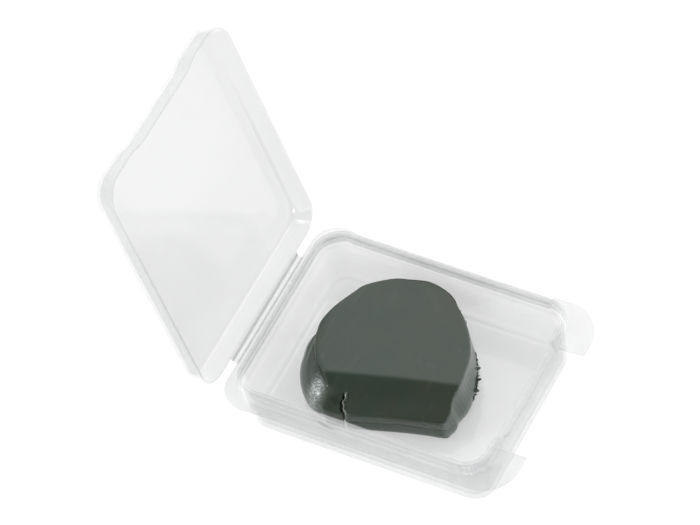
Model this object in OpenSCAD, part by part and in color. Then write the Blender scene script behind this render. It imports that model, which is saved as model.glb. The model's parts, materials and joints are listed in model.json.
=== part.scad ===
// Clay bar in its hinged polypropylene case: a shallow tray, a living hinge,
// a skirted lid standing open and one kneaded lump of detailing clay.
// Millimetres. +X runs from the hinge to the latch side, +Y along the hinge,
// +Z up. The origin is the centre of the tray's flat underside.

/* [Tray] */
// Opening length, hinge side to latch side (mm)
open_len = 101; // [80:0.5:130]
// Opening width, along the hinge (mm)
open_wid = 77; // [60:0.5:110]
// Height from the table to the top of the rim (mm)
tray_h = 26.6; // [18:0.2:40]
// Corner radius of the opening (mm)
open_r = 8; // [5:0.5:14]
// Wall and flange thickness (mm)
wall_t = 1.2; // [0.8:0.1:2]
// How far the side walls lean in between flange and floor (mm)
lean = 1.6; // [0:0.1:3]
// How far the latch wall leans in (mm)
lean_latch = 0.3; // [0:0.1:2]

/* [Rim and flange] */
// Width of the raised rim (mm)
rim_w = 2.8; // [2.6:0.1:4]
// Skin of the rim on both sides of its hollow (mm)
rim_skin = 0.9; // [0.7:0.1:1.2]
// Height of the rim above the corner ears (mm)
rim_h = 5.2; // [4:0.1:8]
// Reach of the flange past the opening on the long sides (mm)
flange_w = 6.8; // [5.5:0.1:9]
// Reach of the flange past the opening on the hinge side (mm)
flange_hinge = 6.9; // [6:0.1:9]
// Reach of the front ears past the opening (mm)
ear_reach = 13.4; // [10:0.2:18]
// Length of each rear ear along the long side (mm)
ear_back = 14.3; // [11:0.1:20]
// Length of each front ear along the long side (mm)
ear_front = 22.4; // [18:0.2:30]
// Gap between the two front ears (mm)
ear_gap = 49.8; // [36:0.2:60]
// Step down from the ears to the side flanges (mm)
side_step = 0.8; // [0.3:0.1:1.5]
// Length of the shallow pad in the middle of each side flange (mm)
pad_len = 41.5; // [20:0.5:60]
// Depth of that pad (mm)
pad_d = 0.4; // [0.2:0.1:0.6]

/* [Latch] */
// Length of the lowered part of the front rim (mm)
dip_len = 47; // [30:0.5:60]
// How far the front rim is lowered there (mm)
dip_h = 2.6; // [1:0.1:3.4]
// Length of the catch ridge (mm)
catch_len = 41.6; // [20:0.2:56]
// How far the catch ridge stands out (mm)
catch_w = 1.4; // [0.6:0.1:1.8]
// Height of the catch ridge (mm)
catch_h = 1; // [0.6:0.1:1.4]

/* [Living hinge] */
// Length of the hinge web (mm)
web_len = 54; // [35:0.5:70]
// Radius of the bent web (mm)
web_r = 0.35; // [0.2:0.05:0.45]
// Distance from the flange edge to the hinge line (mm)
web_out = 0.6; // [0.5:0.05:1]
// How far the lid stands open (deg, 0 is shut)
open_angle = 102; // [0:1:180]

/* [Lid] */
// Depth of the lid, panel to skirt edge (mm)
lid_h = 9.2; // [7:0.1:14]
// Lid wall and panel thickness (mm)
lid_t = 1.2; // [0.8:0.1:1.8]
// Gap between the rim and the inside of the skirt, long sides (mm)
skirt_gap = 1.4; // [0.4:0.1:2.5]
// Gap between the rim and the skirt at the hinge side (mm)
skirt_gap_hinge = 0.6; // [0.4:0.1:2]
// Gap between the rim and the skirt at the front corners (mm)
skirt_gap_front = 3; // [2.6:0.1:5]
// Depth of the finger recess in the lid's front edge (mm)
recess_d = 1.8; // [0.5:0.1:2.2]
// Length of the finger recess (mm)
recess_len = 44; // [20:1:56]
// Height of the skirt edge over the ears when the lid is shut (mm)
shut_gap = 0.2; // [0.1:0.05:0.6]

/* [Clay] */
// Clay length as a share of the opening length
clay_len_share = 0.66; // [0.4:0.01:0.72]
// Clay width as a share of the opening width
clay_wid_share = 0.81; // [0.5:0.01:0.82]
// Clay height as a share of the tray depth
clay_h_share = 0.78; // [0.4:0.01:0.9]
// Gap between the clay and the tray floor (mm)
clay_gap = 0.1; // [0.05:0.05:0.3]

/* [Hidden] */

eps = 0.05;
seg = 12;                            // facets in each quarter corner
ox = open_len / 2;
oy = open_wid / 2;
ear_top = tray_h - rim_h;
ear_bot = ear_top - wall_t;
side_top = ear_top - side_step;
side_bot = side_top - wall_t;
floor_r = 1;                         // step standing in for the floor fillet
side_cut = 0.6;                      // side flanges end this far inside the ears
axis_x = -ox - flange_hinge - web_out;
axis_z = ear_top - 0.3;
skirt_t0 = ear_top + shut_gap - axis_z;   // skirt edge above the hinge line, lid shut
latch_w = rim_w - 0.8;               // front wall behind the catch is thinner

// lid outline in hinge coordinates: s from the hinge line, lid shut
lid_s0 = -ox - rim_w - skirt_gap_hinge - lid_t - axis_x;
lid_s1 = ox + rim_w + skirt_gap_front + lid_t - axis_x;
lid_y = oy + rim_w + skirt_gap + lid_t;
lip_s0 = web_r + 0.2;

tray_body = [-ox, ox, -oy, oy];

// quarter arc from angle a, centre c, radius r
function arc(c, r, a) =
    [for (i = [0:seg]) c + r * [cos(a + 90 * i / seg), sin(a + 90 * i / seg)]];

// rounded rectangle with its own radius at the hinge end and at the latch end
function rounded(x0, x1, y0, y1, rh, rl) = concat(
    arc([x1 - rl, y1 - rl], rl, 0),
    arc([x0 + rh, y1 - rh], rh, 90),
    arc([x0 + rh, y0 + rh], rh, 180),
    arc([x1 - rl, y0 + rl], rl, 270));

// the tray's opening grown outward by g, the latch side by gl
function grown(g, gl) = rounded(-ox - g, ox + gl, -oy - g, oy + g,
    max(open_r + g, 1), max(open_r + min(g, gl), 1));

// lid outline shrunk by k, with the finger recess in the front edge
function lid_outline(k) =
    let (x1 = lid_s1 - k, xr = lid_s1 - recess_d - k, half = recess_len / 2,
         rl = 10 - k, rh = 9 - k, y1 = lid_y - k, x0 = lid_s0 + k)
    concat(
        arc([x1 - rl, y1 - rl], rl, 0),
        arc([x0 + rh, y1 - rh], rh, 90),
        arc([x0 + rh, -y1 + rh], rh, 180),
        arc([x1 - rl, -y1 + rl], rl, 270),
        [[x1, -half - 3], [xr, -half + 5], [xr, half - 5], [x1, half + 3]]);

module prism(z0, z1, pts) {
    translate([0, 0, z0])
        linear_extrude(height = z1 - z0)
            polygon(pts);
}

module block(x0, x1, y0, y1, z0, z1) {
    translate([x0, y0, z0])
        cube([x1 - x0, y1 - y0, z1 - z0]);
}

// drafted tub, outside
module tub_outside() {
    hull() {
        prism(0, 0.1, grown(wall_t - lean - 1, wall_t - lean_latch - 1));
        prism(1, 1.1, grown(wall_t - lean, wall_t - lean_latch));
        prism(side_bot, side_bot + 0.1, grown(wall_t, wall_t));
    }
}

// drafted tub, inside
module tub_inside() {
    hull() {
        prism(wall_t, wall_t + 0.1, grown(-lean - floor_r, -lean_latch - floor_r));
        prism(wall_t + floor_r, wall_t + floor_r + 0.1, grown(-lean, -lean_latch));
        prism(ear_bot, ear_bot + 0.1, grown(0, 0));
    }
    prism(ear_bot, tray_h + 1, grown(0, 0));
}

// flat corner ears, one plate with its long sides and its front cut away
module ears() {
    x0 = -ox - flange_hinge;
    x1 = ox + ear_reach;
    y1 = oy + flange_w;
    difference() {
        prism(ear_bot, ear_top, rounded(x0, x1, -y1, y1, 10.5, 14.5));
        for (s = [-1, 1])
            translate([0, s * (oy + rim_w / 2 + 10), 0])
                block(x0 + ear_back, x1 - ear_front, -10, 10, ear_bot - 1, ear_top + 1);
        block(ox + rim_w / 2, x1 + 1, -ear_gap / 2, ear_gap / 2, ear_bot - 1, ear_top + 1);
    }
}

// lower flanges along the two long sides, each with a shallow pad
module side_flanges() {
    x0 = -ox - flange_hinge + ear_back;
    x1 = ox + ear_reach - ear_front;
    mid = (x0 + x1) / 2;
    for (s = [-1, 1])
        difference() {
            translate([0, s * (oy + flange_w - side_cut - 2.4), 0])
                block(x0 - 0.2, x1 + 0.2, -2.4, 2.4, side_bot, side_top);
            translate([0, s * (oy + rim_w + 10), 0])
                block(mid - pad_len / 2, mid + pad_len / 2, -10, 10,
                      side_top - pad_d, side_top + 1);
        }
}

module catch() {
    zt = tray_h - dip_h - 0.7;
    xw = ox + latch_w;
    translate([xw - eps, catch_len / 2, zt])
        rotate([90, 0, 0])
            linear_extrude(height = catch_len)
                polygon([[0, 0], [0, -catch_h - 0.3], [catch_w + eps, -catch_h],
                         [catch_w + eps, -catch_h * 0.6]]);
}

module tray() {
    color([0.86, 0.88, 0.88, 0.6])
    difference() {
        union() {
            tub_outside();
            prism(side_bot, tray_h, grown(rim_w, rim_w));
            ears();
            side_flanges();
        }
        tub_inside();
        // hollow under the rim, open below, left solid behind the latch
        difference() {
            prism(side_bot - 1, tray_h - wall_t, grown(rim_w - rim_skin, rim_w - rim_skin));
            prism(side_bot - 2, tray_h, grown(rim_skin, rim_skin));
            block(ox - 6, ox + 12, -dip_len / 2 - 1, dip_len / 2 + 1, side_bot - 2, tray_h);
            tub_outside();
        }
        // lowered and thinned front rim
        block(ox - 1, ox + 12, -dip_len / 2, dip_len / 2, tray_h - dip_h, tray_h + 1);
        block(ox + latch_w, ox + 12, -dip_len / 2, dip_len / 2, side_bot - 1, tray_h + 1);
    }
    color([0.86, 0.88, 0.88, 0.6])
        catch();
}

// thin web that bends between the tray flange and the lid lip
module hinge_web() {
    color([0.9, 0.91, 0.91, 0.6]) {
        translate([axis_x, web_len / 2, axis_z])
            rotate([90, 0, 0])
                cylinder(r = web_r, h = web_len, $fn = 24);
        block(axis_x, axis_x + web_out, -web_len / 2, web_len / 2,
              axis_z - web_r, axis_z + web_r - 0.3);
    }
}

module lid_shut() {
    top = skirt_t0 + lid_h;
    difference() {
        union() {
            prism(skirt_t0, top - 0.8, lid_outline(0));
            // stepped top edge, standing in for its rounding
            prism(top - 0.8, top - 0.3, lid_outline(0.25));
            prism(top - 0.3, top, lid_outline(0.8));
            block(lip_s0, lid_s0 + 1, -web_len / 2, web_len / 2,
                  skirt_t0, skirt_t0 + 1);
        }
        prism(skirt_t0 - 1, top - lid_t, lid_outline(lid_t));
    }
}

module lid() {
    color([0.92, 0.93, 0.93, 0.6])
        translate([axis_x, 0, axis_z])
            rotate([0, -open_angle, 0])
                lid_shut();
}

// one round lobe of the clay; x and y as shares of the clay's own length and width
module lobe(x, y, r, z0, z1) {
    translate([x * clay_l, y * clay_w, z0])
        cylinder(r = r * clay_w, h = z1 - z0, $fn = 32);
}

clay_l = open_len * clay_len_share;
clay_w = open_wid * clay_wid_share;
clay_h = (tray_h - wall_t) * clay_h_share;
clay_x = -0.072 * open_len;
clay_y = 0.04 * open_wid;

module clay() {
    color([0.2, 0.24, 0.21])
        translate([clay_x, clay_y, wall_t + clay_gap])
            hull() {
                // foot
                lobe(-0.31, -0.29, 0.2, 0, 2);
                lobe(0.36, -0.13, 0.15, 0, 2);
                lobe(0.28, 0.19, 0.19, 0, 2);
                lobe(0, 0.27, 0.22, 0, 2);
                lobe(-0.27, 0.15, 0.21, 0, 2);
                // widest round
                lobe(-0.3, -0.29, 0.21, 5, clay_h * 0.55);
                lobe(0.35, -0.12, 0.17, 5, clay_h * 0.55);
                lobe(0.26, 0.19, 0.21, 5, clay_h * 0.55);
                lobe(0, 0.27, 0.23, 5, clay_h * 0.6);
                lobe(-0.27, 0.15, 0.22, 5, clay_h * 0.55);
                // top
                lobe(-0.22, -0.09, 0.19, clay_h - 2, clay_h);
                lobe(0.37, -0.04, 0.12, clay_h - 2, clay_h);
                lobe(0.26, 0.18, 0.18, clay_h - 2, clay_h);
                lobe(0, 0.26, 0.2, clay_h - 2, clay_h);
                lobe(-0.23, 0.14, 0.19, clay_h - 2, clay_h);
            }
}

tray();
hinge_web();
lid();
clay();
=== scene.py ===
"""Detailing clay lump in its hinged plastic case.

All modelling is in millimetres in the part's own frame (+X hinge to latch, +Y
along the hinge, +Z up) and is scaled to metres when a mesh is made.
"""

import json
import math

import bmesh
import bpy
import numpy as np
from bpy.props import (
    FloatProperty,
    FloatVectorProperty,
    IntProperty,
    PointerProperty,
)
from bpy.types import Operator, Panel, PropertyGroup
from mathutils import Matrix, Vector


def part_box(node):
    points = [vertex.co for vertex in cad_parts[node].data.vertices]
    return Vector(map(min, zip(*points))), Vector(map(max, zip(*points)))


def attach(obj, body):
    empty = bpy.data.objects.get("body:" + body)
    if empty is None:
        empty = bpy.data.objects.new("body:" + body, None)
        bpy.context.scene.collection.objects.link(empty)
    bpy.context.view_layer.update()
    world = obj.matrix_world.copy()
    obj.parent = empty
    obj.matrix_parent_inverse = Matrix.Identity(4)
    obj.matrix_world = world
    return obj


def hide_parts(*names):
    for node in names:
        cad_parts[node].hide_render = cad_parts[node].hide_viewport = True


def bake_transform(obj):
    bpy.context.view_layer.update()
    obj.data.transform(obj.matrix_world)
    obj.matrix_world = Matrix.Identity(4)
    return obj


bl_info = {
    "name": "Clay Bar in Hinged Case",
    "version": (1, 0, 0),
    "blender": (4, 5, 0),
    "location": "View3D > Sidebar > Clay Bar",
    "description": "Builds a hinged plastic case with its lump of detailing clay",
    "category": "Object",
}

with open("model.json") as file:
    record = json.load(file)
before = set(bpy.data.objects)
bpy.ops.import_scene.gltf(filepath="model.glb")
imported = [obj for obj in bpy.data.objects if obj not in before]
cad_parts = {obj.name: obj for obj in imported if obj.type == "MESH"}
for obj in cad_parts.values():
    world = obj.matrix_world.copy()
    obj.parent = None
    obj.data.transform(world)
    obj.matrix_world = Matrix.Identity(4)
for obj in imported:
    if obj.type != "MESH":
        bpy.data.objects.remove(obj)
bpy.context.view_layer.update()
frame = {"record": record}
MM = 0.001

TRAY_LO, TRAY_HI = (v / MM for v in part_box("tray"))
HINGE = next(j for j in frame["record"]["behaviour"]["joints"] if j["name"] == "lid_hinge")

CREASE = math.radians(50)      # corners sharper than this stay sharp when shaded
HAIR = 0.03                    # half the space between the two stations of a step
LID_PAINTED_SHADE = 0.88                # painted shade: the lid's copy of the plastic is darker than the tray's, so the brightly lit lid comes out less bright
# pale colour along the raised lip of the tear and on the crumbs of the top edge
PALE_EDGE_CLAY = (0.42, 0.46, 0.42)
# painted highlight: pale colour that stands in for the bright highlight on the left roll
PAINTED_HIGHLIGHT_CLAY = (0.62, 0.66, 0.66)


# ---------------------------------------------------------------- properties


class CaseSizes(PropertyGroup):
    """Sizes of the moulded case, all in metres."""

    open_len: FloatProperty(
        name="Opening length", description="Hinge side to latch side",
        default=0.101, unit="LENGTH")
    open_wid: FloatProperty(
        name="Opening width", description="Along the hinge",
        default=0.077, unit="LENGTH")
    open_r: FloatProperty(
        name="Corner radius", description="Corner radius of the opening",
        default=0.008, unit="LENGTH")
    wall: FloatProperty(
        name="Wall", description="Wall and flange thickness",
        default=0.0012, unit="LENGTH")
    lean: FloatProperty(
        name="Side lean", description="How far the side walls lean in at the floor",
        default=0.0016, unit="LENGTH")
    lean_latch: FloatProperty(
        name="Latch lean", description="How far the latch wall leans in at the floor",
        default=0.0003, unit="LENGTH")
    rim_w: FloatProperty(
        name="Rim width", description="Width of the raised rim",
        default=0.0028, unit="LENGTH")
    rim_h: FloatProperty(
        name="Rim height", description="Rim top above the corner ears",
        default=0.0052, unit="LENGTH")
    ear_gap: FloatProperty(
        name="Ear gap", description="Gap between the two front ears",
        default=0.0498, unit="LENGTH")
    dip_len: FloatProperty(
        name="Latch dip", description="Length of the lowered front rim",
        default=0.047, unit="LENGTH")
    dip_h: FloatProperty(
        name="Dip depth", description="How far the front rim is lowered",
        default=0.0026, unit="LENGTH")
    catch_len: FloatProperty(
        name="Catch length", description="Length of the catch ridge",
        default=0.0416, unit="LENGTH")
    catch_w: FloatProperty(
        name="Catch reach", description="How far the catch ridge stands out",
        default=0.0014, unit="LENGTH")
    lid_h: FloatProperty(
        name="Lid depth", description="Panel to skirt edge",
        default=0.0092, unit="LENGTH")
    open_angle: FloatProperty(
        name="Lid angle", description="How far the lid stands open at rest",
        default=math.radians(102), subtype="ANGLE")
    web_len: FloatProperty(
        name="Hinge length", description="Length of the living hinge",
        default=0.054, unit="LENGTH")
    web_t: FloatProperty(
        name="Hinge thickness", description="Thickness of the bending web",
        default=0.0004, unit="LENGTH")


class ClaySizes(PropertyGroup):
    """Sizes and detail of the clay lump."""

    height: FloatProperty(
        name="Height", description="Clay top above the tray floor",
        default=0.0197, unit="LENGTH")
    slope: FloatProperty(
        name="Front slope", description="Steepness of the smooth front slope",
        default=math.radians(36.6), subtype="ANGLE")
    cell: FloatProperty(
        name="Mesh cell", description="Size of one cell of the clay's mesh",
        default=0.00044, unit="LENGTH")
    crumbs: IntProperty(
        name="Crumbs", description="Crumbs along the torn edge", default=120)
    seed: IntProperty(
        name="Crumb seed", description="Fixed seed of the crumbs", default=7)


class Finishes(PropertyGroup):
    """Colours of the finishes."""

    plastic: FloatVectorProperty(
        name="Plastic", description="Natural polypropylene",
        default=(0.60, 0.61, 0.61), size=3, subtype="COLOR", min=0, max=1)
    clear: FloatProperty(
        name="Clearness", description="Share of light that each skin of plastic lets through",
        default=0.70, min=0, max=1, subtype="FACTOR")
    clay_dark: FloatVectorProperty(
        name="Clay", description="Body colour of the clay",
        default=(0.015, 0.036, 0.023), size=3, subtype="COLOR", min=0, max=1)
    # painted light and painted reflection: besides tinting the veins, this pale colour stands
    # in for light and the bright floor's reflection on the right face, the roll and the front
    # face
    clay_pale: FloatVectorProperty(
        name="Stretched and lit clay", description="Paler colour of stretched clay",
        default=(0.105, 0.130, 0.112), size=3, subtype="COLOR", min=0, max=1)


# ---------------------------------------------------------------- mesh helpers


def new_piece(name, verts, faces):
    """A smooth-shaded mesh object from millimetre points, with its normals outward."""
    mesh = bpy.data.meshes.new(name)
    mesh.from_pydata([tuple(v) for v in np.asarray(verts) * MM], [], faces)
    bm = bmesh.new()
    bm.from_mesh(mesh)
    bmesh.ops.recalc_face_normals(bm, faces=bm.faces)
    bm.to_mesh(mesh)
    bm.free()
    mesh.shade_smooth()
    piece = bpy.data.objects.new(name, mesh)
    bpy.context.scene.collection.objects.link(piece)
    return piece


def loft(rings):
    """Points and faces of a loft through rings of equal point counts, capped at both ends."""
    count = len(rings[0])
    verts = np.concatenate(rings)
    faces = []
    for r in range(len(rings) - 1):
        a, b = r * count, (r + 1) * count
        for i in range(count):
            j = (i + 1) % count
            faces.append((a + i, a + j, b + j, b + i))
    faces.append(tuple(range(count)))
    faces.append(tuple(range(len(verts) - count, len(verts))))
    return verts, faces


def fillet(start, corner, end, steps):
    """Points of a smooth corner between two points, as a quadratic curve."""
    s, c, e = (np.array(p, float) for p in (start, corner, end))
    t = np.linspace(0, 1, steps + 1)[:, None]
    return [tuple(p) for p in (1 - t) ** 2 * s + 2 * t * (1 - t) * c + t ** 2 * e]


def finish_piece(piece, material, body=None):
    """Gives a piece its material and slot, and lets it ride on its body if it has just one."""
    piece.data.materials.clear()
    piece.data.materials.append(material)
    if body:
        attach(piece, body)


def mark_points(piece, name, values):
    """Stores one number for each point of a piece, for its material to read."""
    layer = piece.data.attributes.new(name, "FLOAT", "POINT")
    layer.data.foreach_set("value", np.asarray(values, np.float32))


# ---------------------------------------------------------------- case stations


def outline_stations(x0, x1, y0, y1, r_back, r_front, marks_x, marks_y, corner_steps):
    """Points and outward normals round a rounded rectangle, counter-clockwise.

    marks_x and marks_y are places on the straight sides that need a station of
    their own. Each gets two stations a hair apart, so a step there is upright.
    """
    spacing, clear = 3.0, 0.4      # usual step, and the room kept free round a mark
    stations = []

    def straight(fixed, a, b, along_x, normal, marks):
        inner = [m for m in marks if min(a, b) < m < max(a, b)]
        places = list(np.linspace(a, b, max(2, round(abs(b - a) / spacing) + 1)))
        places = [p for p in places if all(abs(p - m) > clear for m in inner)]
        for m in inner:
            places += [m - HAIR, m + HAIR]
        for p in sorted(places, reverse=b < a):
            stations.append(((p, fixed) if along_x else (fixed, p), normal))

    def corner(cx, cy, r, start):
        for i in range(1, corner_steps):
            a = math.radians(start + 90 * i / corner_steps)
            n = (math.cos(a), math.sin(a))
            stations.append(((cx + r * n[0], cy + r * n[1]), n))

    straight(x1, y0 + r_front, y1 - r_front, False, (1, 0), marks_y)
    corner(x1 - r_front, y1 - r_front, r_front, 0)
    straight(y1, x1 - r_front, x0 + r_back, True, (0, 1), marks_x)
    corner(x0 + r_back, y1 - r_back, r_back, 90)
    straight(x0, y1 - r_back, y0 + r_back, False, (-1, 0), marks_y)
    corner(x0 + r_back, y0 + r_back, r_back, 180)
    straight(y0, x0 + r_back, x1 - r_front, True, (0, -1), marks_x)
    corner(x1 - r_front, y0 + r_front, r_front, 270)
    return stations


def reach_to(point, normal, x0, x1, y0, y1, r_back, r_front):
    """Distance from a point along its normal to a larger rounded rectangle."""
    p, n = np.array(point), np.array(normal)

    def inside(q):
        r = r_front if q[0] > 0 else r_back
        cx = min(max(q[0], x0 + r), x1 - r)
        cy = min(max(q[1], y0 + r), y1 - r)
        return math.hypot(q[0] - cx, q[1] - cy) <= r

    lo, hi = 0.0, 40.0
    for _ in range(30):
        mid = (lo + hi) / 2
        lo, hi = (mid, hi) if inside(p + mid * n) else (lo, mid)
    return lo


def build_tray_mesh(c):
    """The whole tray as one closed skin: tub, hollow rim, flanges, ears and catch."""
    ox, oy, r = c.open_len / 2 / MM, c.open_wid / 2 / MM, c.open_r / MM
    wall, rim = c.wall / MM, c.rim_w / MM
    lean, lean_latch = c.lean / MM, c.lean_latch / MM
    top = TRAY_HI.z
    ear_top = top - c.rim_h / MM
    ear_bot = ear_top - wall
    side_top = ear_top - 0.8       # the side flanges lie a step below the ears
    side_bot = side_top - wall
    side_reach, pad_drop = 6.2, 0.4
    dip, catch = c.dip_len / 2 / MM, c.catch_len / 2 / MM
    gap = c.ear_gap / 2 / MM
    ear_back, ear_front = 14.3, 22.4       # length of the ears along the sides
    ear_x0, ear_x1 = TRAY_LO.x + ear_back, TRAY_HI.x - ear_front
    pad_mid, pad = (ear_x0 + ear_x1) / 2, 41.5 / 2
    ear_r_back, ear_r_front = 10.5, 14.5
    ears = (TRAY_LO.x, TRAY_HI.x, TRAY_LO.y, TRAY_HI.y, ear_r_back, ear_r_front)
    skin = 0.9                             # thickness of the hollow rim's outer skin
    dip_ramp, catch_ramp = 0.9, 1.2        # length over which each one sets in

    marks_y = [s * v for s in (-1, 1)
               for v in (gap, dip, dip - dip_ramp, catch, catch - catch_ramp)]
    marks_x = [ear_x0, ear_x1, pad_mid - pad, pad_mid + pad]
    stations = outline_stations(-ox, ox, -oy, oy, r, r, marks_x, marks_y, corner_steps=20)

    profiles = []
    for (x, y), (nx, ny) in stations:
        front = nx > 0.999
        side = abs(ny) > 0.999
        # what the flange is here: its reach, its underside and its top
        if front and abs(y) < gap:
            reach, f0, f1 = 0.0, side_bot, side_bot + 0.5
        elif side and ear_x0 < x < ear_x1:
            reach, f0 = side_reach, side_bot
            f1 = side_top - (pad_drop if abs(x - pad_mid) < pad else 0)
        else:
            reach, f0, f1 = reach_to((x, y), (nx, ny), *ears), ear_bot, ear_top
        # what the rim is here
        low = 0.0
        if front and abs(y) < dip:
            low = min(1.0, (dip - abs(y)) / dip_ramp)
        z_top = top - low * c.dip_h / MM
        outer = rim - (0.8 if low > 0 else 0.0)
        hollow_top = side_bot + 0.12 if front and abs(y) < dip + 0.02 else top - wall
        ridge = 0.0
        if front and abs(y) < catch:
            ridge = c.catch_w / MM * min(1.0, (catch - abs(y)) / catch_ramp + 0.05)
        z_ridge = top - c.dip_h / MM - 0.7
        flange = max(reach, outer)
        edge = min(0.28, max(0.0, (flange - outer) / 3))

        def wall_out(z):
            f = min(max((z - 1) / (side_bot - 1), 0), 1)
            return (wall - lean * (1 - f), wall - lean_latch * (1 - f), z)

        def wall_in(z):
            f = min(max((z - wall - 1) / (ear_bot - wall - 1), 0), 1)
            return (-lean * (1 - f), -lean_latch * (1 - f), z)

        path = []

        def add(g, z):
            path.append((g, g, z))

        # underside edge, outside wall
        edge_in, edge_up = 1.9, 2.2
        a, b = wall_out(0), wall_out(edge_up)
        for t in np.linspace(0, 1, 7):
            k, q = (1 - t) ** 2, t ** 2
            path.append((a[0] - edge_in * k + (b[0] - a[0]) * q,
                         a[1] - edge_in * k + (b[1] - a[1]) * q, edge_up * q))
        path.append(wall_out(10))
        path.append(wall_out(side_bot - 0.2))
        # up into the hollow rim and down its outer skin
        add(skin, min(side_bot + 0.1, hollow_top))
        add(skin, hollow_top - 0.02)
        add(skin + 0.15, hollow_top)
        add(min(outer, rim) - skin + 0.05, hollow_top)
        add(outer - skin + 0.2, hollow_top - 0.02)
        add(outer - skin + 0.2, f0 + 0.05 if hollow_top > f0 + 1 else f0)
        # flange underside, edge and top
        add(outer - skin + 0.35, f0)
        add(flange - edge, f0)
        add(flange - edge * 0.3, f0 + edge * 0.3)
        add(flange, f0 + edge)
        add(flange, f1 - edge * 1.1)
        add(flange - edge * 0.35, f1 - edge * 0.35)
        add(flange - edge * 1.1, f1)
        add(outer + edge, f1)
        add(outer, f1 + edge)
        # catch ridge on the outer skin
        add(outer, z_ridge - 1.35)
        add(outer + ridge * 0.92, z_ridge - 1.0)
        add(outer + ridge, z_ridge - 0.8)
        add(outer + ridge * 0.85, z_ridge - 0.5)
        add(outer, z_ridge)
        # rim top, rounded both ways
        round_r = 0.55
        for g, z in fillet((outer, z_top - round_r), (outer, z_top),
                           (outer - round_r, z_top), 4):
            add(g, z)
        for g, z in fillet((round_r, z_top), (0, z_top), (0, z_top - round_r), 4):
            add(g, z)
        # inside wall, with its small ledge at flange level
        add(0, ear_bot + 0.7)
        add(-0.05, ear_bot + 0.45)
        add(-0.22, ear_bot + 0.15)
        path.append(tuple(np.array(wall_in(ear_bot - 0.4)) - (0.2, 0.2, 0)))
        path.append(tuple(np.array(wall_in(11)) - (0.08, 0.08, 0)))
        floor_in, floor_up = 2.3, 2.6
        a, b = wall_in(1.9), wall_in(wall + floor_up)
        path.append(b)
        for t in np.linspace(0, 1, 7)[1:]:
            k, q = (1 - t) ** 2, t ** 2
            path.append((a[0] + (b[0] - a[0]) * k - floor_in * q,
                         a[1] + (b[1] - a[1]) * k - floor_in * q, wall + floor_up * k))
        path.append((-5.2, -4.2, wall))
        profiles.append(path)

    rings = []
    for level in range(len(profiles[0])):
        ring = []
        for ((x, y), (nx, ny)), path in zip(stations, profiles):
            g, gl, z = path[level]
            ring.append((x + nx * (gl if nx > 0 else g), y + ny * g, z))
        rings.append(np.array(ring))
    return loft(rings)


def lid_to_world(points, angle, axis):
    """Hinge coordinates (along the lid, along the hinge, away from it) to the frame."""
    s, y, t = (np.asarray(points)[:, i] for i in range(3))
    ca, sa = math.cos(angle), math.sin(angle)
    return np.stack([axis[0] + s * ca - t * sa, y, axis[1] + s * sa + t * ca], axis=1)


def hinge_axis():
    """The hinge line's X and Z in millimetres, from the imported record."""
    return HINGE["pos_m"][0] / MM, HINGE["pos_m"][2] / MM


def build_lid_mesh(c):
    """The lid as one closed skin in hinge coordinates, with recess and hinge lip."""
    s0, s1, half_y = 2.9, 115.5, 43.9
    edge_t, depth, wall = 0.5, c.lid_h / MM, c.wall / MM
    top = edge_t + depth
    web = c.web_len / 2 / MM
    flare_front, flare_side = 2.4, 1.1     # how far the open edge of the skirt flares
    r_back, r_front = 9, 10
    stations = outline_stations(
        s0, s1, -half_y, half_y, r_back, r_front, [], [-web, web], corner_steps=22)

    def recess(y):
        half_length, ramp, deep = 25, 8, 1.8
        v = min(max((half_length - abs(y)) / ramp, 0), 1)
        return deep * v * v * (3 - 2 * v)

    def draft(t):
        return 0.35 * (t - edge_t) / depth

    # each row is how far it lies inside the outline, and its distance from the hinge plane
    path = fillet((3.2, top), (0.3, top), (0.3, top - 2.3), 7)
    path += [(draft(4.5), 4.5), (draft(2.0), 2.0)]
    lip = {}                               # the same rows where the hinge lip stands out
    for t, lip_k in ((1.55, 0.0), (1.5, -2.1), (1.4, -2.3), (0.62, -2.3), (0.5, -2.0)):
        lip[len(path)] = lip_k
        path.append((0.0, t))
    path += [(0.32, edge_t), (wall - 0.3, edge_t), (wall - 0.05, edge_t + 0.1),
             (wall, edge_t + 0.4), (wall + draft(4.5), 4.5)]
    path += fillet((wall + 0.3, top - wall - 1.9), (wall + 0.35, top - wall),
                   (wall + 2.3, top - wall), 7)
    path.append((wall + 4.5, top - wall))

    rings = []
    for level, (k, t) in enumerate(path):
        ring = []
        for (x, y), (nx, ny) in stations:
            on_lip = nx < -0.999 and abs(y) < web
            kk = lip.get(level, k) if on_lip else k
            xx = x - recess(y) if nx > 0.999 else x
            flare = 1 - max(0.0, t - edge_t) / depth
            xx += flare * flare_front * max(nx, 0)
            ring.append((xx - nx * kk, y - ny * kk + flare * flare_side * ny, t))
        rings.append(np.array(ring))
    return loft(rings)


# ---------------------------------------------------------------- clay shape


def closed_curve(points, steps=5):
    """A smooth closed curve through points, as a dense polygon."""
    p = np.array(points, float)
    out = []
    for i in range(len(p)):
        a, b, c, d = p[i - 1], p[i], p[(i + 1) % len(p)], p[(i + 2) % len(p)]
        for k in range(steps):
            t = k / steps
            out.append(0.5 * (2 * b + (c - a) * t + (2 * a - 5 * b + 4 * c - d) * t * t
                              + (3 * b - a - 3 * c + d) * t ** 3))
    return np.array(out)


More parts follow.
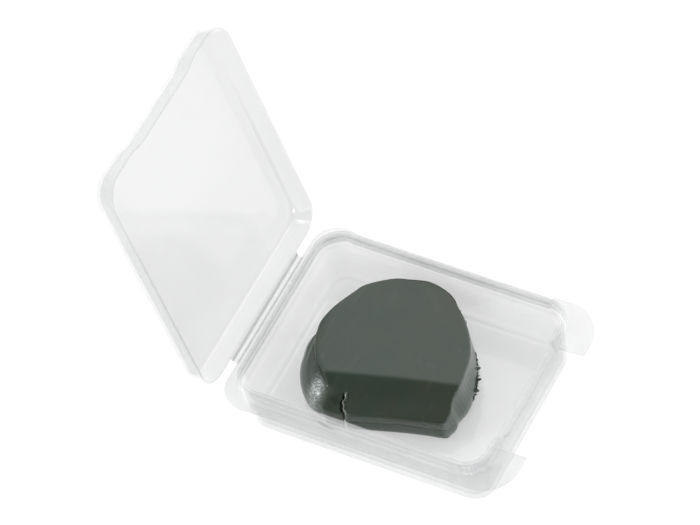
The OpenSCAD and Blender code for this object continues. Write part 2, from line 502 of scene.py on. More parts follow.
# the top sheet of the clay seen from above, and the roll folded under its left side
SHEET = closed_curve([
    (25, -16.5), (25.5, -13), (25, -9.5), (26, -3.5), (25, 3.5), (23.5, 10), (19.5, 17.5),
    (13.5, 24.5), (9.5, 28), (6.5, 31), (1.5, 33.5), (-6, 35), (-14, 33), (-20, 31),
    (-28.5, 25), (-31.5, 20), (-35, 12), (-37, 4), (-36.5, -1), (-35, -5.5), (-31.5, -12),
    (-27, -16.5), (-24, -19), (-22, -22), (-21, -25), (-21.5, -27.5), (-20, -28.5),
    (-10, -26.5), (7.5, -21.5), (20, -18.5), (24, -17.5)])
ROLL = closed_curve([
    (-33.5, 15), (-38, 9), (-40, 3.5), (-41, -3), (-40, -9), (-38.5, -14.5), (-35.5, -20),
    (-32, -24), (-28, -27), (-22.5, -28.5), (-16, -25), (-14, -12), (-24, 6)])


def curve_distance(x, y, curve):
    """Signed distance in plan to a closed curve, negative inside."""
    x, y = np.broadcast_arrays(x, y)
    best = np.full(x.shape, 1e9)
    wind = np.zeros(x.shape, bool)
    for a, b in zip(curve, np.roll(curve, -1, axis=0)):
        ex, ey = b - a
        wx, wy = x - a[0], y - a[1]
        t = np.clip((wx * ex + wy * ey) / (ex * ex + ey * ey), 0, 1)
        best = np.minimum(best, (wx - ex * t) ** 2 + (wy - ey * t) ** 2)
        crosses = (a[1] <= y) != (b[1] <= y)
        with np.errstate(divide="ignore", invalid="ignore"):
            at = a[0] + (y - a[1]) * ex / (ey if ey else 1e-9)
        wind ^= crosses & (x < at)
    return np.sqrt(best) * np.where(wind, -1, 1)


def soft_max(a, b, k):
    """Meeting of two solids with a rounded edge of size k."""
    h = np.maximum(k - np.abs(a - b), 0) / k
    return np.maximum(a, b) + h * h * k * 0.25


def soft_min(a, b, k):
    """Join of two solids with a rounded valley of size k."""
    return -soft_max(-a, -b, k)


def ease(v, a, b):
    """0 before a, 1 after b, smooth between."""
    t = np.clip((v - a) / (b - a), 0, 1)
    return t * t * (3 - 2 * t)


def waves(x, y, z):
    """Slow uneven swell of a kneaded lump, about one unit high."""
    return (np.sin(0.21 * x + 0.6 + 1.3 * np.sin(0.11 * y)) * np.sin(0.17 * y + 0.23 * z)
            + 0.6 * np.sin(0.33 * y - 0.19 * x + 0.4) * np.cos(0.27 * z + 0.13 * x)
            + 0.08 * np.sin(0.7 * x + 0.5 * z) * np.sin(0.6 * y - 0.3 * z))


TEAR_AT = np.array((-16.0, -19.9))
TEAR_ALONG = np.array((0.30, -0.954))


def tear_place(x, y):
    """How far along the tear a point is, and how far beside it."""
    dx, dy = x - TEAR_AT[0], y - TEAR_AT[1]
    along = dx * TEAR_ALONG[0] + dy * TEAR_ALONG[1]
    wiggle = 0.55 * np.sin(along * 0.9 + 0.5) + 0.25 * np.sin(along * 2.7)
    beside = dx * -TEAR_ALONG[1] + dy * TEAR_ALONG[0] - wiggle
    return along, beside


def clay_field(x, y, z, height, slope):
    """Signed field of the clay lump; z is the height above the tray floor."""
    plan, fold = curve_distance(x, y, SHEET), curve_distance(x, y, ROLL)
    turn = math.radians(14.5)
    ahead = x * math.sin(turn) - y * math.cos(turn)        # towards the front slope
    right = ease(x, 12, 20)
    back = ease(y, -8, 12)
    # upright sides: the back and left swell, the right one spreads at its foot
    swell_out, spread_out, bulge_out, bulge_z = 0.8, 1.3, 1.7, 4.5
    swell = swell_out * np.sin(np.clip(z / 19, 0, 1) * math.pi) * (1 - right) * back
    spread = spread_out * ease(19 - z, 2, 17) * right * ease(y, 2, 12) * (1 - ease(y, 20, 27))
    spread = spread + (bulge_out * np.exp(-((z - bulge_z) / 5.5) ** 2) * right
                       * ease(y, -19, -12) * (1 - ease(y, 2, 12)))
    foot = 0.04 * np.clip(3.2 - z, 0, 4) ** 2
    side = plan - swell - spread + foot
    # thin seam along the front face, which steps back a little below it
    seam_z = 6.1 + 0.25 * np.sin(0.21 * x) + 0.012 * x
    seam_deep, seam_half, step_back = 0.55, 0.33, 0.22
    on_face = ease(ahead, 19, 20.5)
    side = side + seam_deep * np.exp(-((z - seam_z) / seam_half) ** 2) * on_face
    side = side + step_back * ease(seam_z - z, 0, 0.7) * on_face

    # the slightly crowned top, and the front slope with its shallow hollow
    crown = ((x + 5) ** 2 + (y - 9) ** 2) * 0.00030
    upper = z - (height - crown + 0.006 * (y - 10))
    slope_from, hollow, hollow_at = 10.2, 0.35, 16.5
    front = ((z - (height - 0.35)) + math.tan(slope) * (ahead - slope_from)) * math.cos(slope)
    front = front + hollow * np.exp(-((ahead - hollow_at) / 5) ** 2) - 0.15
    body = soft_max(upper, front, 0.5)
    body = soft_max(body, side, 0.95 - 0.25 * right)

    # the roll under the left side: a thick rounded edge, lower than the sheet
    round_r, roll_z, lap_in, lap_high = 7.5, 7.7, 2.4, 0.45
    inner = np.maximum(fold + round_r, 0)
    roll = np.sqrt(inner ** 2 + ((z - roll_z) * 0.99) ** 2) - round_r
    lap = lap_high * np.exp(-((fold + lap_in + 0.12 * (z - 9)) / 0.45) ** 2)
    roll = roll + lap * ease(z, 6, 9) * ease(y, -16, -6)
    body = soft_min(body, roll, 1.1)
    body = soft_max(body, -z, 0.4)

    # slow swell of the kneaded surface, and the pull marks on the right side
    wave_high, mark_deep = 0.07, 0.045
    body = body + wave_high * waves(x, y, z)
    marks = np.sin(3.3 * y + 0.7 * np.sin(0.5 * z) + 0.35 * z) + 0.6 * np.sin(7.1 * y + 0.5 * z)
    body = body + mark_deep * marks * right * ease(plan, -2.0, -0.4) * (1 - back * 0.3)

    # the short tear in the front slope
    tear_end, tear_half, tear_deep, lip_high = 9.5, 0.55, 2.6, 0.45
    along, beside = tear_place(x, y)
    width = tear_half * ease(along, -0.3, 4) * (1 - 0.45 * ease(along, 6.5, 9))
    deep = body + tear_deep * ease(along, -0.5, 3)
    cut = np.maximum(np.maximum(np.abs(beside) - width, -deep),
                     np.maximum(-along, along - tear_end))
    lift = (lip_high * np.exp(-((beside - 0.95) / 0.55) ** 2) * ease(along, 0.5, 3)
            * (1 - ease(along, 7, tear_end)))
    return soft_max(body - lift, -cut, 0.25)


def surface_net(field, low, high, step):
    """Quads on the zero level of a field, one point for each cell it crosses."""
    axes = [np.arange(l, h + step, step) for l, h in zip(low, high)]
    x, y, z = axes[0][:, None, None], axes[1][None, :, None], axes[2][None, None, :]
    f = field(x, y, z)
    n = np.array(f.shape)
    total = np.zeros(tuple(n - 1) + (3,))
    hits = np.zeros(tuple(n - 1))
    for axis in range(3):
        others = [a for a in range(3) if a != axis]
        for o1 in (0, 1):
            for o2 in (0, 1):
                lo_cut, hi_cut = [None] * 3, [None] * 3
                lo_cut[axis], hi_cut[axis] = slice(0, n[axis] - 1), slice(1, n[axis])
                for o, shift in zip(others, (o1, o2)):
                    lo_cut[o] = hi_cut[o] = slice(shift, n[o] - 1 + shift)
                a, b = f[tuple(lo_cut)], f[tuple(hi_cut)]
                crossed = (a < 0) != (b < 0)
                t = np.where(crossed, a / np.where(crossed, a - b, 1), 0)
                total[..., axis] += t
                total[..., others[0]] += crossed * o1
                total[..., others[1]] += crossed * o2
                hits += crossed
    used = hits > 0
    index = np.full(hits.shape, -1)
    index[used] = np.arange(used.sum())
    cells = np.argwhere(used)
    points = np.array(low) + step * (cells + total[used] / hits[used][:, None])
    faces = []
    for axis in range(3):
        o1, o2 = [(1, 2), (2, 0), (0, 1)][axis]
        lo_cut = [slice(1, -1)] * 3
        hi_cut = [slice(1, -1)] * 3
        lo_cut[axis], hi_cut[axis] = slice(0, n[axis] - 1), slice(1, n[axis])
        a, b = f[tuple(lo_cut)], f[tuple(hi_cut)]
        for sign in (1, -1):
            at = np.argwhere(((a < 0) & (b >= 0)) if sign == 1 else ((a >= 0) & (b < 0)))
            shift = np.ones(3, int)
            shift[axis] = 0
            at = at + shift
            quad = []
            for d1, d2 in ((-1, -1), (0, -1), (0, 0), (-1, 0)):
                off = np.zeros(3, int)
                off[o1], off[o2] = d1, d2
                quad.append(index[tuple((at + off).T)])
            quad = np.stack(quad if sign == 1 else quad[::-1], axis=1)
            faces.append(quad)
    return points, np.concatenate(faces)


def settle_on(field, points, rounds=2):
    """Moves points onto the field's zero level along its gradient."""
    p = points.copy()
    d, furthest = 0.04, 0.25
    for _ in range(rounds):
        v = field(*p.T)
        g = np.stack([(field(*(p + o).T) - field(*(p - o).T)) / (2 * d)
                      for o in np.eye(3) * d], axis=1)
        step = (v / np.maximum((g ** 2).sum(1), 0.2))[:, None] * g
        p -= np.clip(step, -furthest, furthest)
    return p


# ---------------------------------------------------------------- materials


class Nodes:
    """Small builder for a material's node tree."""

    def __init__(self, name):
        self.material = bpy.data.materials.new(name)
        self.material.use_nodes = True
        self.tree = self.material.node_tree
        self.tree.nodes.clear()
        self.out = self.tree.nodes.new("ShaderNodeOutputMaterial")

    def add(self, kind, **values):
        node = self.tree.nodes.new(kind)
        for key, value in values.items():
            setattr(node, key, value)
        return node

    def link(self, a, b):
        self.tree.links.new(a, b)

    def noise(self, scale, detail=3.0, roughness=0.5, stretch=(1, 1, 1), distortion=0.0):
        """Noise on Object coordinates; scale is waves for each metre."""
        coords = self.add("ShaderNodeTexCoord")
        mapping = self.add("ShaderNodeMapping")
        mapping.inputs["Scale"].default_value = stretch
        tex = self.add("ShaderNodeTexNoise")
        tex.inputs["Scale"].default_value = scale
        tex.inputs["Detail"].default_value = detail
        tex.inputs["Roughness"].default_value = roughness
        tex.inputs["Distortion"].default_value = distortion
        self.link(coords.outputs["Object"], mapping.inputs["Vector"])
        self.link(mapping.outputs["Vector"], tex.inputs["Vector"])
        return tex.outputs["Fac"]

    def remap(self, value, a, b, lo, hi):
        node = self.add("ShaderNodeMapRange")
        node.inputs["From Min"].default_value = a
        node.inputs["From Max"].default_value = b
        node.inputs["To Min"].default_value = lo
        node.inputs["To Max"].default_value = hi
        self.link(value, node.inputs["Value"])
        return node.outputs["Result"]

    def mix(self, factor, a, b):
        node = self.add("ShaderNodeMix", data_type="RGBA")
        self.link(factor, node.inputs["Factor"])
        for value, socket in ((a, node.inputs["A"]), (b, node.inputs["B"])):
            if hasattr(value, "is_output"):
                self.link(value, socket)
            else:
                socket.default_value = tuple(value)[:3] + (1,)
        return node.outputs["Result"]

    def bump(self, value, height, normal=None):
        node = self.add("ShaderNodeBump")
        node.inputs["Strength"].default_value = 1.0
        node.inputs["Distance"].default_value = height
        self.link(value, node.inputs["Height"])
        if normal is not None:
            self.link(normal, node.inputs["Normal"])
        return node.outputs["Normal"]


def plastic_material(name, tone, clear):
    """Milky natural polypropylene: clear is the share that each skin lets through."""
    n = Nodes(name)
    bsdf = n.add("ShaderNodeBsdfPrincipled")
    cloud = n.noise(45, detail=1)
    dull = [v * 0.94 for v in tone]
    n.link(n.mix(n.remap(cloud, 0.3, 0.7, 0, 1), tone, dull), bsdf.inputs["Base Color"])
    bsdf.inputs["Roughness"].default_value = 0.24
    bsdf.inputs["IOR"].default_value = 1.49
    bsdf.inputs["Specular IOR Level"].default_value = 0.9
    bsdf.inputs["Coat Weight"].default_value = 1.0
    bsdf.inputs["Coat IOR"].default_value = 2.0
    bsdf.inputs["Coat Roughness"].default_value = 0.07
    bsdf.inputs["Alpha"].default_value = 1 - clear
    n.link(bsdf.outputs["BSDF"], n.out.inputs["Surface"])
    return n.material


def clay_material(name, dark, pale):
    """Dark oily clay: glossy where it was pressed, lighter on the right face, the roll and the
    front face through painted light and painted reflection, with a painted highlight on the
    roll.
    """
    n = Nodes(name)
    bsdf = n.add("ShaderNodeBsdfPrincipled")
    broad = n.noise(45, distortion=0.8)
    fine = n.noise(900, detail=4, roughness=0.6)
    veins = n.noise(120, detail=5, roughness=0.6, stretch=(1, 0.35, 1), distortion=1.5)
    # painted light and painted reflection: this mark makes the clay lighter in colour, and also
    # rougher
    stretch = n.add("ShaderNodeAttribute", attribute_name="stretched_and_lit")
    tear = n.add("ShaderNodeAttribute", attribute_name="torn")
    brown = (dark[0] * 1.9, dark[1] * 0.97, dark[2] * 0.95)
    colour = n.mix(n.remap(broad, 0.35, 0.7, 0, 1), dark, brown)
    colour = n.mix(n.remap(veins, 0.55, 0.8, 0, 0.18), colour, pale)
    # painted light and painted reflection on the right face, the roll and the front face
    colour = n.mix(stretch.outputs["Fac"], colour, pale)
    colour = n.mix(tear.outputs["Fac"], colour, PALE_EDGE_CLAY)
    # painted highlight on the left roll, broken up by fine noise
    highlight_patch = n.add("ShaderNodeAttribute", attribute_name="painted_highlight")
    highlight_speckle = n.add("ShaderNodeMath", operation="MULTIPLY")
    highlight_noise = n.noise(1600, roughness=0.7)
    n.link(n.remap(highlight_noise, 0.42, 0.62, 0.1, 1), highlight_speckle.inputs[0])
    n.link(highlight_patch.outputs["Fac"], highlight_speckle.inputs[1])
    colour = n.mix(highlight_speckle.outputs[0], colour, PAINTED_HIGHLIGHT_CLAY)
    n.link(colour, bsdf.inputs["Base Color"])
    rough = n.remap(broad, 0.3, 0.75, 0.10, 0.20)
    node = n.add("ShaderNodeMath", operation="MULTIPLY_ADD")
    n.link(stretch.outputs["Fac"], node.inputs[0])
    node.inputs[1].default_value = 0.16
    n.link(rough, node.inputs[2])
    n.link(node.outputs[0], bsdf.inputs["Roughness"])
    n.link(n.bump(fine, 0.000012, n.bump(broad, 0.00006)), bsdf.inputs["Normal"])
    bsdf.inputs["IOR"].default_value = 1.52
    bsdf.inputs["Coat Weight"].default_value = 0.25
    bsdf.inputs["Coat Roughness"].default_value = 0.06
    n.link(bsdf.outputs["BSDF"], n.out.inputs["Surface"])
    return n.material


def floor_material():
    """Plain pale table, softly lit from below."""
    n = Nodes("pale_floor")
    bsdf = n.add("ShaderNodeBsdfPrincipled")
    bsdf.inputs["Base Color"].default_value = (0.34, 0.34, 0.34, 1)
    bsdf.inputs["Emission Color"].default_value = (1, 1, 1, 1)
    bsdf.inputs["Emission Strength"].default_value = 0.76
    bsdf.inputs["Roughness"].default_value = 0.7
    bsdf.inputs["Specular IOR Level"].default_value = 0.2
    n.link(bsdf.outputs["BSDF"], n.out.inputs["Surface"])
    return n.material


# ---------------------------------------------------------------- operators


class CLAYBAR_OT_tray(Operator):
    """Builds the tray with its hollow rim, flanges, corner ears and catch"""

    bl_idname = "claybar.tray"
    bl_label = "Tray"

    def execute(self, context):
        sizes, looks = context.scene.claybar_case, context.scene.claybar_looks
        verts, faces = build_tray_mesh(sizes)
        tray = new_piece("moulded_tray", verts, faces)
        tray.data.set_sharp_from_angle(angle=CREASE)
        finish_piece(tray, plastic_material("tray_polypropylene", looks.plastic, looks.clear),
                     "tray")
        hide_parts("tray")
        return {"FINISHED"}


class CLAYBAR_OT_lid(Operator):
    """Builds the skirted lid with its finger recess and hinge lip"""

    bl_idname = "claybar.lid"
    bl_label = "Lid"

    def execute(self, context):
        sizes, looks = context.scene.claybar_case, context.scene.claybar_looks
        verts, faces = build_lid_mesh(sizes)
        verts = lid_to_world(verts, sizes.open_angle, hinge_axis())
        lid = new_piece("moulded_lid", verts, faces)
        lid.data.set_sharp_from_angle(angle=CREASE)
        # painted shade: the lid gets a darker copy of the same plastic
        tone = [v * LID_PAINTED_SHADE for v in looks.plastic]
        finish_piece(lid, plastic_material("lid_polypropylene_shaded", tone, looks.clear),
                     "lid")
        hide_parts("lid")
        return {"FINISHED"}


class CLAYBAR_OT_hinge(Operator):
    """Builds the living hinge, a thin curved web between tray and lid"""

    bl_idname = "claybar.hinge"
    bl_label = "Living hinge"

    def execute(self, context):
        sizes, looks = context.scene.claybar_case, context.scene.claybar_looks
        angle, half = sizes.open_angle, sizes.web_t / 2 / MM
        along = np.array((math.cos(angle), math.sin(angle)))
        out = np.array((-math.sin(angle), math.cos(angle)))
        origin = np.array(hinge_axis())
        tray_end = origin + (1.1, -0.15)
        lid_end = origin + along * 1.5 + out * 1.0
        middle = origin + along * -0.35 + out * 0.45
        rows = 13
        t = np.linspace(0, 1, rows)[:, None]
        centre = (1 - t) ** 2 * tray_end + 2 * t * (1 - t) * middle + t ** 2 * lid_end
        slope = np.gradient(centre, axis=0)
        slope /= np.linalg.norm(slope, axis=1)[:, None]
        side = np.stack([-slope[:, 1], slope[:, 0]], axis=1)
        thick = half * (1 + 0.9 * np.abs(np.linspace(-1, 1, rows)) ** 3)[:, None]
        section = np.concatenate([centre + side * thick, (centre - side * thick)[::-1]])
        length = sizes.web_len / 2 / MM - 0.15
        rings = [np.stack([section[:, 0], np.full(len(section), y), section[:, 1]], axis=1)
                 for y in np.linspace(-length, length, 19)]
        verts, faces = loft(rings)
        web = new_piece("living_hinge", verts, faces)
        web.data.set_sharp_from_angle(angle=CREASE)
        finish_piece(web, plastic_material("hinge_polypropylene", looks.plastic, looks.clear))
        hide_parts("hinge_web")
        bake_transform(web)
        return {"FINISHED"}


class CLAYBAR_OT_clay(Operator):
    """Builds the kneaded lump: top sheet, front slope, folded roll and tear"""

    bl_idname = "claybar.clay"
    bl_label = "Clay"

    def execute(self, context):
        sizes, looks = context.scene.claybar_clay, context.scene.claybar_looks
        height, slope = sizes.height / MM, sizes.slope

        def field(x, y, z):
            return clay_field(x, y, z, height, slope)

        points, faces = surface_net(
            field, (-42, -30.5, -0.9), (30, 37, 21.5), sizes.cell / MM)
        points = settle_on(field, points)
        points[:, 2] = np.maximum(points[:, 2], 0)
        x, y, z = points.T             # heights here are above the clay's own foot
        lifted = points + (0, 0, clay_floor())
        clay = new_piece("clay_lump", lifted, [tuple(f) for f in faces.tolist()])
        plan, fold = curve_distance(x, y, SHEET), curve_distance(x, y, ROLL)
        along, beside = tear_place(x, y)
        torn = (0.7 * np.exp(-((beside - 0.7) / 0.24) ** 2) * ease(along, 0.6, 2)
                * (1 - ease(along, 7.5, 9)))
        # painted reflection of the bright floor on the right face and painted light on the roll
        # and the front face; the same mark also makes them rougher
        right = ease(plan, -0.7, 0.1) * ease(x + 1.1 * np.minimum(y + 8, 0), 12, 15)
        # painted highlight: where the left roll's bright highlight is painted in
        highlight_patch = (1.4 * np.exp(-((x + 26.0) / 2.7) ** 2 - ((y + 23.4) / 4.8) ** 2)
                 * ease(plan, 0.2, 1.2) * ease(z, 5, 10))
        roll = (1 - ease(z, 13.5, 16)) * ease(-fold, -1, 0.2) * ease(plan, -1, 0.5)
        ahead = ease(x * 0.25 - y * 0.968, 20.2, 21.4) * (1 - ease(z, 9.6, 11.2))
        painted_lit_paleness = np.maximum(np.maximum(right, 0.55 * roll), 0.04 * ahead)
        mark_points(clay, "torn", torn)
        mark_points(clay, "stretched_and_lit", painted_lit_paleness)
        mark_points(clay, "painted_highlight", np.minimum(highlight_patch, 1))
        finish_piece(clay, clay_material("oily_clay", looks.clay_dark, looks.clay_pale),
                     "clay")
        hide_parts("clay")
        return {"FINISHED"}


def clay_floor():
    """Height of the tray floor plus the hair of space under the clay."""
    return bpy.context.scene.claybar_case.wall / MM + 0.05


CRUMB_PATHS = (
    # the torn foot on the right, and the nicked top edge above it:
    # the line, its share of the crumbs, their size, and how pale they are
    ([(19, 18.5, 6.5), (21.5, 15, 6.5), (23.5, 12, 6.5), (25.5, 8, 6), (26.5, 4.5, 5),
      (27, 1, 4)], 0.9, 0.5, 0.0),
    ([(9, 28.5, 18.5), (12, 26, 18.5), (15.5, 22.5, 18.5)], 0.35, 0.2, 0.9),
)


def crumb_tree(material):
    """Node tree that strews small torn crumbs along a line, with a fixed seed."""
    tree = bpy.data.node_groups.new("crumbs_along_edge", "GeometryNodeTree")
    face = tree.interface
    face.new_socket("Geometry", in_out="INPUT", socket_type="NodeSocketGeometry")
    for name, kind, value in (("Count", "NodeSocketInt", 60),
                              ("Size", "NodeSocketFloat", 0.0006),
                              ("Spread", "NodeSocketFloat", 0.001),
                              ("Seed", "NodeSocketInt", 0)):
        face.new_socket(name, in_out="INPUT", socket_type=kind).default_value = value
    face.new_socket("Geometry", in_out="OUTPUT", socket_type="NodeSocketGeometry")
    add = tree.nodes.new
    link = tree.links.new
    start, end = add("NodeGroupInput"), add("NodeGroupOutput")
    curve = add("GeometryNodeMeshToCurve")
    points = add("GeometryNodeResampleCurve")
    scatter = add("GeometryNodeSetPosition")
    offset = add("FunctionNodeRandomValue")
    offset.data_type = "FLOAT_VECTOR"
    offset.inputs["Min"].default_value = (-1, -1, -1)
    offset.inputs["Max"].default_value = (1, 1, 1)
    widen = add("ShaderNodeVectorMath")
    widen.operation = "SCALE"
    crumb = add("GeometryNodeMeshIcoSphere")
    crumb.inputs["Radius"].default_value = 1.0
    crumb.inputs["Subdivisions"].default_value = 2
    place = add("GeometryNodeInstanceOnPoints")
    turn = add("FunctionNodeRandomValue")
    turn.data_type = "FLOAT_VECTOR"
    turn.inputs["Max"].default_value = (6.28, 6.28, 6.28)
    shape = add("FunctionNodeRandomValue")
    shape.data_type = "FLOAT_VECTOR"
    shape.inputs["Min"].default_value = (0.5, 0.4, 0.15)
    shape.inputs["Max"].default_value = (2.2, 1.3, 0.5)
    grow = add("ShaderNodeVectorMath")
    grow.operation = "SCALE"
    real = add("GeometryNodeRealizeInstances")
    ragged = add("GeometryNodeSetPosition")
    noise = add("ShaderNodeTexNoise")
    noise.inputs["Scale"].default_value = 1800
    centre = add("ShaderNodeVectorMath")
    centre.operation = "SUBTRACT"
    centre.inputs[1].default_value = (0.5, 0.5, 0.5)
    push = add("ShaderNodeVectorMath")
    push.operation = "SCALE"
    paint = add("GeometryNodeSetMaterial")
    paint.inputs["Material"].default_value = material
    link(start.outputs["Geometry"], curve.inputs["Mesh"])
    link(curve.outputs["Curve"], points.inputs["Curve"])
    link(start.outputs["Count"], points.inputs["Count"])
    link(points.outputs["Curve"], scatter.inputs["Geometry"])
    link(start.outputs["Seed"], offset.inputs["Seed"])
    link(offset.outputs["Value"], widen.inputs[0])
    link(start.outputs["Spread"], widen.inputs["Scale"])
    link(widen.outputs["Vector"], scatter.inputs["Offset"])
    link(scatter.outputs["Geometry"], place.inputs["Points"])
    link(crumb.outputs["Mesh"], place.inputs["Instance"])
    link(start.outputs["Seed"], turn.inputs["Seed"])
    link(turn.outputs["Value"], place.inputs["Rotation"])
    link(start.outputs["Seed"], shape.inputs["Seed"])
    link(shape.outputs["Value"], grow.inputs[0])
    link(start.outputs["Size"], grow.inputs["Scale"])
    link(grow.outputs["Vector"], place.inputs["Scale"])
    link(place.outputs["Instances"], real.inputs["Geometry"])
    link(real.outputs["Geometry"], ragged.inputs["Geometry"])
    link(noise.outputs["Color"], centre.inputs[0])
    link(centre.outputs["Vector"], push.inputs[0])
    link(start.outputs["Size"], push.inputs["Scale"])
    link(push.outputs["Vector"], ragged.inputs["Offset"])
    link(ragged.outputs["Geometry"], paint.inputs["Geometry"])
    link(paint.outputs["Geometry"], end.inputs["Geometry"])
    return tree


def frozen(source, name):
    """A plain mesh object with what a piece's modifiers make, in place of the piece."""
    graph = bpy.context.evaluated_depsgraph_get()
    mesh = bpy.data.meshes.new_from_object(source.evaluated_get(graph))
    piece = bpy.data.objects.new(name, mesh)
    bpy.context.scene.collection.objects.link(piece)
    bpy.data.objects.remove(source)
    return piece


class CLAYBAR_OT_crumbs(Operator):
    """Strews torn crumbs along the clay's ragged edges"""

    bl_idname = "claybar.crumbs"
    bl_label = "Crumbs"

    def execute(self, context):
        sizes = context.scene.claybar_clay
        material = bpy.data.materials["oily_clay"]
        tree = crumb_tree(material)
        keys = {s.name: s.identifier for s in tree.interface.items_tree
                if s.in_out == "INPUT"}
        for number, (path, share, size, pale) in enumerate(CRUMB_PATHS):
            points = np.array(path) + (0, 0, clay_floor())
            mesh = bpy.data.meshes.new("crumb_line")
            mesh.from_pydata([tuple(v) for v in points * MM],
                             [(i, i + 1) for i in range(len(points) - 1)], [])
            line = bpy.data.objects.new("crumb_line", mesh)
            context.scene.collection.objects.link(line)
            modifier = line.modifiers.new("crumbs", "NODES")
            modifier.node_group = tree
            modifier[keys["Count"]] = int(sizes.crumbs * share)
            modifier[keys["Size"]] = size * MM
            modifier[keys["Spread"]] = size * 1.3 * MM
            modifier[keys["Seed"]] = sizes.seed + number
            crumbs = frozen(line, f"clay_crumbs_{number + 1}")
            crumbs.data.shade_smooth()
            mark_points(crumbs, "torn", [pale] * len(crumbs.data.vertices))
            finish_piece(crumbs, material, "clay")
        return {"FINISHED"}


class CLAYBAR_OT_refraction_patch(Operator):
    """Adds a painted refraction: a small dark clay patch on the inside of the near wall,
    standing in for the lump seen bent through the wall
    """

    bl_idname = "claybar.smear"
    bl_label = "Clay smear"

    def execute(self, context):
        sizes = context.scene.claybar_case
        wall_y = -sizes.open_wid / 2 / MM + 0.35
        count, half_long, half_high = 40, 3.5, 1.25
        mid_x, mid_z, turn = -14.6, 17.8, math.radians(-24)
        across = np.linspace(0, 2 * math.pi, count, endpoint=False)
        uneven = 1 + 0.22 * np.sin(3 * across + 0.4) + 0.12 * np.sin(7 * across)
        rings = []
        for share, lift in ((0.02, 0.30), (0.4, 0.28), (0.75, 0.2), (0.95, 0.09), (1, 0.0),
                            (0.95, -0.12), (0.02, -0.12)):
            u = half_long * share * uneven * np.cos(across)
            v = half_high * share * uneven * np.sin(across)
            x = mid_x + u * math.cos(turn) - v * math.sin(turn)
            z = mid_z + u * math.sin(turn) + v * math.cos(turn)
            rings.append(np.stack([x, np.full(count, wall_y + lift), z], axis=1))
        verts, faces = loft(rings)
        # painted refraction: a dark clay patch where the lump shows through the near wall
        refraction_patch = new_piece("painted_clay_refraction", verts, faces)
        finish_piece(refraction_patch, bpy.data.materials["oily_clay"], "tray")
        return {"FINISHED"}


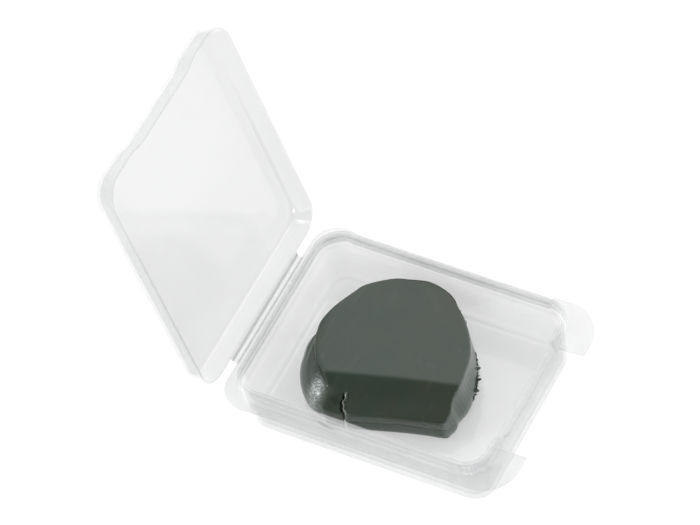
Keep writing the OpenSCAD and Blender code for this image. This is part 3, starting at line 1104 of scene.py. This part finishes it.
class CLAYBAR_OT_stage(Operator):
    """Sets the floor, the soft studio light and the camera"""

    bl_idname = "claybar.stage"
    bl_label = "Stage"

    def execute(self, context):
        scene = context.scene
        bpy.ops.mesh.primitive_plane_add(size=8, location=(0, 0, -0.0002))
        floor = context.active_object
        floor.name = "pale_floor"
        floor.data.materials.append(floor_material())

        world = bpy.data.worlds.new("studio")
        scene.world = world
        world.use_nodes = True
        tree = world.node_tree
        back = tree.nodes["Background"]
        coords = tree.nodes.new("ShaderNodeTexCoord")
        axis = tree.nodes.new("ShaderNodeVectorMath")
        axis.operation = "DOT_PRODUCT"
        axis.inputs[1].default_value = (-0.6, 0.75, 0.0)
        ramp = tree.nodes.new("ShaderNodeMapRange")
        ramp.inputs["From Min"].default_value = -0.7
        ramp.inputs["From Max"].default_value = 0.5
        ramp.inputs["To Min"].default_value = 0.12
        ramp.inputs["To Max"].default_value = 1.45
        tree.links.new(coords.outputs["Generated"], axis.inputs[0])
        tree.links.new(axis.outputs["Value"], ramp.inputs["Value"])
        tree.links.new(ramp.outputs["Result"], back.inputs["Strength"])
        back.inputs["Color"].default_value = (1, 1, 1, 1)

        for name, place, size, power in (
                ("soft_right", (0.75, 0.55, 0.9), 0.8, 2.2),
                ("soft_left", (-0.62, -0.30, 0.62), 0.24, 1.8),
                ("low_front", (0.36, -0.80, 0.14), 0.5, 4.6)):
            light = bpy.data.lights.new(name, "AREA")
            light.size = size
            light.energy = power
            lamp = bpy.data.objects.new(name, light)
            lamp.location = place
            aim = Vector((0, 0, 0.02)) - Vector(place)
            lamp.rotation_euler = aim.to_track_quat("-Z", "Y").to_euler()
            scene.collection.objects.link(lamp)

        azimuth, elevation, roll = (math.radians(v) for v in (36.87, 52.43, -12.37))
        target, distance = Vector((-36.1, 28.0, 26.6)) * MM, 1.8814
        toward = Vector((math.sin(azimuth) * math.cos(elevation),
                         -math.cos(azimuth) * math.cos(elevation), math.sin(elevation)))
        right = Vector((math.cos(azimuth), math.sin(azimuth), 0))
        up = toward.cross(right)
        cam_x = right * math.cos(roll) + up * math.sin(roll)
        cam_y = -right * math.sin(roll) + up * math.cos(roll)
        data = bpy.data.cameras.new("camera")
        data.sensor_width = 36
        data.lens = 253.7
        data.clip_end = 20
        camera = bpy.data.objects.new("camera", data)
        camera.matrix_world = Matrix((
            (cam_x.x, cam_y.x, toward.x, 0), (cam_x.y, cam_y.y, toward.y, 0),
            (cam_x.z, cam_y.z, toward.z, 0), (0, 0, 0, 1)))
        camera.location = target + toward * distance
        scene.collection.objects.link(camera)
        scene.camera = camera
        scene.view_settings.view_transform = "Standard"
        return {"FINISHED"}


class CLAYBAR_PT_panel(Panel):
    """Lists the pieces and their sizes"""

    bl_idname = "CLAYBAR_PT_panel"
    bl_label = "Clay Bar"
    bl_space_type = "VIEW_3D"
    bl_region_type = "UI"
    bl_category = "Clay Bar"

    def draw(self, context):
        layout = self.layout
        for step in STEPS:
            layout.operator(step.bl_idname)
        for group in (context.scene.claybar_case, context.scene.claybar_clay,
                      context.scene.claybar_looks):
            box = layout.box()
            for key in group.__annotations__:
                box.prop(group, key)


STEPS = (CLAYBAR_OT_stage, CLAYBAR_OT_tray, CLAYBAR_OT_lid, CLAYBAR_OT_hinge,
         CLAYBAR_OT_clay, CLAYBAR_OT_crumbs, CLAYBAR_OT_refraction_patch)
CLASSES = (CaseSizes, ClaySizes, Finishes) + STEPS + (CLAYBAR_PT_panel,)


def register():
    for cls in CLASSES:
        bpy.utils.register_class(cls)
    bpy.types.Scene.claybar_case = PointerProperty(type=CaseSizes)
    bpy.types.Scene.claybar_clay = PointerProperty(type=ClaySizes)
    bpy.types.Scene.claybar_looks = PointerProperty(type=Finishes)


def unregister():
    for name in ("claybar_case", "claybar_clay", "claybar_looks"):
        delattr(bpy.types.Scene, name)
    for cls in reversed(CLASSES):
        bpy.utils.unregister_class(cls)


def main():
    register()
    for step in STEPS:
        group, name = step.bl_idname.split(".")
        getattr(getattr(bpy.ops, group), name)()


if __name__ == "__main__":
    main()
